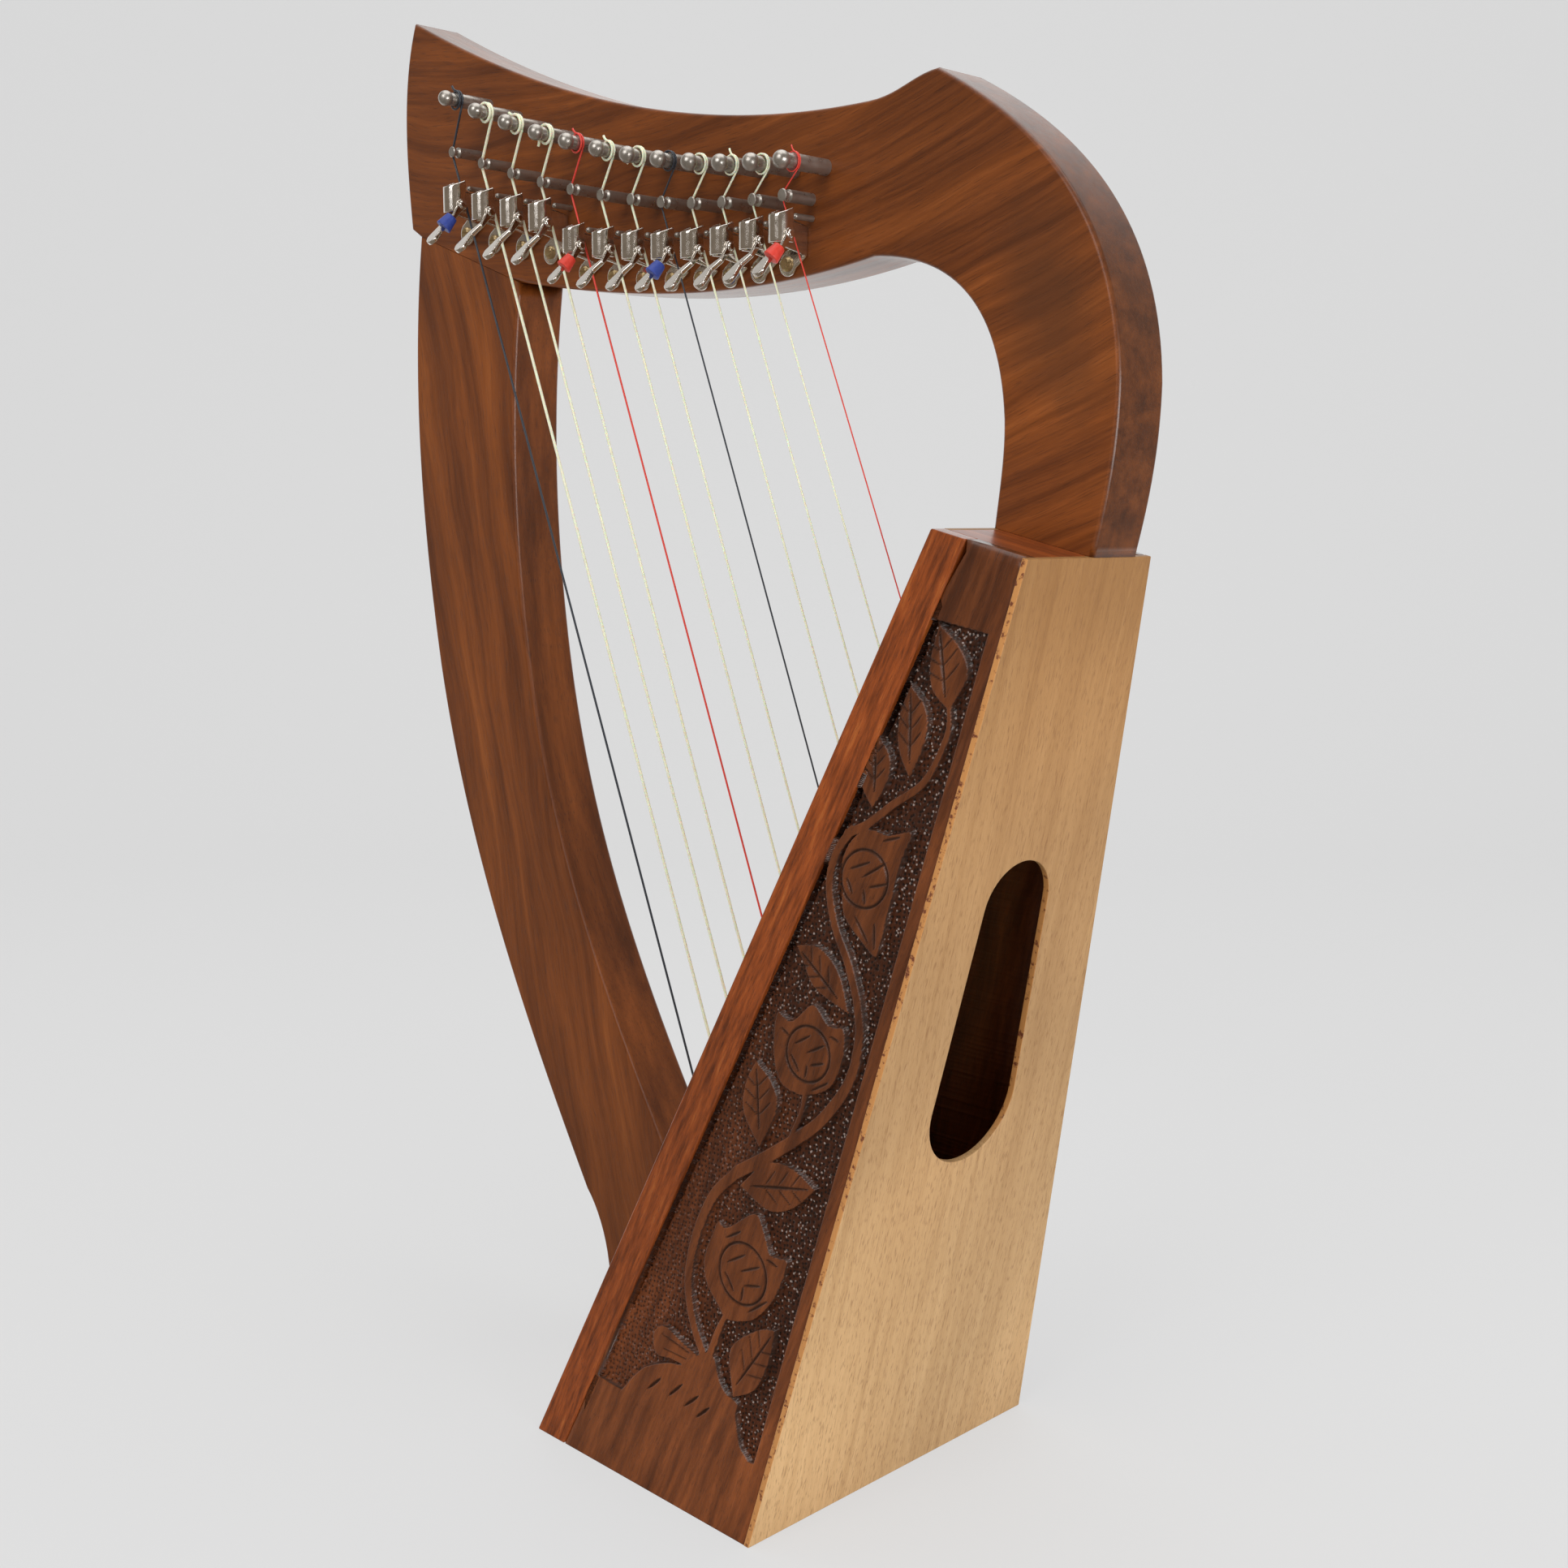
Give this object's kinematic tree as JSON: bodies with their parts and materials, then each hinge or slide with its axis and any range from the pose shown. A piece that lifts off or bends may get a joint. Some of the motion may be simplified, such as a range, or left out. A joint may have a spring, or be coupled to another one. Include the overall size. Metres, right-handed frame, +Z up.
{
  "type": "lever harp",
  "caption": "Small floor or lap lever harp: tapered carved soundbox, curved neck and pillar, strings on turning pins, flip-up sharping levers.",
  "frame": {"origin": "centre of the soundbox's base, on the floor", "axes": "+Z up; +X from the pillar towards the player; -Y is the side with the strings and the levers"},
  "size_m": [0.3907, 0.15, 0.5695],
  "materials": {
    "pale_plywood": "satin",
    "carved_walnut": "satin",
    "batten_wood": "satin",
    "walnut": "satin",
    "rib_maple": "satin",
    "lining_wood": "matte",
    "screw_steel": "zinc plated",
    "pin_steel": "nickel plated, worn",
    "nickel": "polished nickel",
    "brass": "polished",
    "nylon_natural": "translucent nylon",
    "nylon_blue": "dark blue nylon",
    "nylon_red": "red nylon",
    "sleeve_blue": "soft vinyl",
    "sleeve_red": "soft vinyl"
  },
  "bodies": {
    "frame": {"soundboard": "pale_plywood", "back_plate": "pale_plywood", "side_panel_left": "carved_walnut", "side_panel_right": "carved_walnut", "front_batten_left": "batten_wood", "front_batten_right": "batten_wood", "top_board": "walnut", "base_board": "walnut", "string_rib": "rib_maple", "inner_string_rib": "rib_maple", "corner_linings": "lining_wood", "back_braces": "lining_wood", "neck": "walnut", "pillar": "walnut", "pillar_dowels": "lining_wood", "neck_screws": "screw_steel", "pillar_screws": "screw_steel", "string_grommets": "brass", "string_toggles": "rib_maple", "bridge_pins": "pin_steel", "fret_pins": "pin_steel", "lever_brackets": "nickel", "lever_screws": "brass", "strings_natural": "nylon_natural", "strings_blue": "nylon_blue", "strings_red": "nylon_red"},
    "tuning_pin_01": {"tuning_pin_01": "pin_steel"},
    "tuning_pin_02": {"tuning_pin_02": "pin_steel"},
    "tuning_pin_03": {"tuning_pin_03": "pin_steel"},
    "tuning_pin_04": {"tuning_pin_04": "pin_steel"},
    "tuning_pin_05": {"tuning_pin_05": "pin_steel"},
    "tuning_pin_06": {"tuning_pin_06": "pin_steel"},
    "tuning_pin_07": {"tuning_pin_07": "pin_steel"},
    "tuning_pin_08": {"tuning_pin_08": "pin_steel"},
    "tuning_pin_09": {"tuning_pin_09": "pin_steel"},
    "tuning_pin_10": {"tuning_pin_10": "pin_steel"},
    "tuning_pin_11": {"tuning_pin_11": "pin_steel"},
    "tuning_pin_12": {"tuning_pin_12": "pin_steel"},
    "lever_01": {"lever_01": "nickel", "lever_sleeve_01": "sleeve_blue"},
    "lever_02": {"lever_02": "nickel"},
    "lever_03": {"lever_03": "nickel"},
    "lever_04": {"lever_04": "nickel"},
    "lever_05": {"lever_05": "nickel", "lever_sleeve_05": "sleeve_red"},
    "lever_06": {"lever_06": "nickel"},
    "lever_07": {"lever_07": "nickel"},
    "lever_08": {"lever_08": "nickel", "lever_sleeve_08": "sleeve_blue"},
    "lever_09": {"lever_09": "nickel"},
    "lever_10": {"lever_10": "nickel"},
    "lever_11": {"lever_11": "nickel"},
    "lever_12": {"lever_12": "nickel", "lever_sleeve_12": "sleeve_red"}
  },
  "joints": [
    {"name": "tuning_pin_01_turn", "type": "hinge", "parent": "frame", "child": "tuning_pin_01", "pos_m": [-0.1769, 0, 0.5262], "axis": [0, 1, 0], "continuous": true},
    {"name": "tuning_pin_02_turn", "type": "hinge", "parent": "frame", "child": "tuning_pin_02", "pos_m": [-0.15605, 0, 0.5181], "axis": [0, 1, 0], "continuous": true},
    {"name": "tuning_pin_03_turn", "type": "hinge", "parent": "frame", "child": "tuning_pin_03", "pos_m": [-0.13575, 0, 0.5107], "axis": [0, 1, 0], "continuous": true},
    {"name": "tuning_pin_04_turn", "type": "hinge", "parent": "frame", "child": "tuning_pin_04", "pos_m": [-0.11599, 0, 0.504], "axis": [0, 1, 0], "continuous": true},
    {"name": "tuning_pin_05_turn", "type": "hinge", "parent": "frame", "child": "tuning_pin_05", "pos_m": [-0.09677, 0, 0.498], "axis": [0, 1, 0], "continuous": true},
    {"name": "tuning_pin_06_turn", "type": "hinge", "parent": "frame", "child": "tuning_pin_06", "pos_m": [-0.0781, 0, 0.4927], "axis": [0, 1, 0], "continuous": true},
    {"name": "tuning_pin_07_turn", "type": "hinge", "parent": "frame", "child": "tuning_pin_07", "pos_m": [-0.05997, 0, 0.4881], "axis": [0, 1, 0], "continuous": true},
    {"name": "tuning_pin_08_turn", "type": "hinge", "parent": "frame", "child": "tuning_pin_08", "pos_m": [-0.04239, 0, 0.48421], "axis": [0, 1, 0], "continuous": true},
    {"name": "tuning_pin_09_turn", "type": "hinge", "parent": "frame", "child": "tuning_pin_09", "pos_m": [-0.02535, 0, 0.48101], "axis": [0, 1, 0], "continuous": true},
    {"name": "tuning_pin_10_turn", "type": "hinge", "parent": "frame", "child": "tuning_pin_10", "pos_m": [-0.00885, 0, 0.47852], "axis": [0, 1, 0], "continuous": true},
    {"name": "tuning_pin_11_turn", "type": "hinge", "parent": "frame", "child": "tuning_pin_11", "pos_m": [0.0071, 0, 0.47673], "axis": [0, 1, 0], "continuous": true},
    {"name": "tuning_pin_12_turn", "type": "hinge", "parent": "frame", "child": "tuning_pin_12", "pos_m": [0.02251, 0, 0.47564], "axis": [0, 1, 0], "continuous": true},
    {"name": "lever_01_flip", "type": "hinge", "parent": "frame", "child": "lever_01", "pos_m": [-0.17931, -0.0173, 0.4835], "axis": [-1, 0, 0], "range_deg": [0, 80]},
    {"name": "lever_02_flip", "type": "hinge", "parent": "frame", "child": "lever_02", "pos_m": [-0.15925, -0.0173, 0.47826], "axis": [-1, 0, 0], "range_deg": [0, 80]},
    {"name": "lever_03_flip", "type": "hinge", "parent": "frame", "child": "lever_03", "pos_m": [-0.13971, -0.0173, 0.47372], "axis": [-1, 0, 0], "range_deg": [0, 80]},
    {"name": "lever_04_flip", "type": "hinge", "parent": "frame", "child": "lever_04", "pos_m": [-0.12069, -0.0173, 0.46988], "axis": [-1, 0, 0], "range_deg": [0, 80]},
    {"name": "lever_05_flip", "type": "hinge", "parent": "frame", "child": "lever_05", "pos_m": [-0.0995, -0.0173, 0.45894], "axis": [-1, 0, 0], "range_deg": [0, 80]},
    {"name": "lever_06_flip", "type": "hinge", "parent": "frame", "child": "lever_06", "pos_m": [-0.0813, -0.0173, 0.45575], "axis": [-1, 0, 0], "range_deg": [0, 80]},
    {"name": "lever_07_flip", "type": "hinge", "parent": "frame", "child": "lever_07", "pos_m": [-0.06363, -0.0173, 0.45326], "axis": [-1, 0, 0], "range_deg": [0, 80]},
    {"name": "lever_08_flip", "type": "hinge", "parent": "frame", "child": "lever_08", "pos_m": [-0.04648, -0.0173, 0.45148], "axis": [-1, 0, 0], "range_deg": [0, 80]},
    {"name": "lever_09_flip", "type": "hinge", "parent": "frame", "child": "lever_09", "pos_m": [-0.02985, -0.0173, 0.45039], "axis": [-1, 0, 0], "range_deg": [0, 80]},
    {"name": "lever_10_flip", "type": "hinge", "parent": "frame", "child": "lever_10", "pos_m": [-0.01374, -0.0173, 0.45001], "axis": [-1, 0, 0], "range_deg": [0, 80]},
    {"name": "lever_11_flip", "type": "hinge", "parent": "frame", "child": "lever_11", "pos_m": [0.00184, -0.0173, 0.45033], "axis": [-1, 0, 0], "range_deg": [0, 80]},
    {"name": "lever_12_flip", "type": "hinge", "parent": "frame", "child": "lever_12", "pos_m": [0.01691, -0.0173, 0.45135], "axis": [-1, 0, 0], "range_deg": [0, 80]}
  ]
}
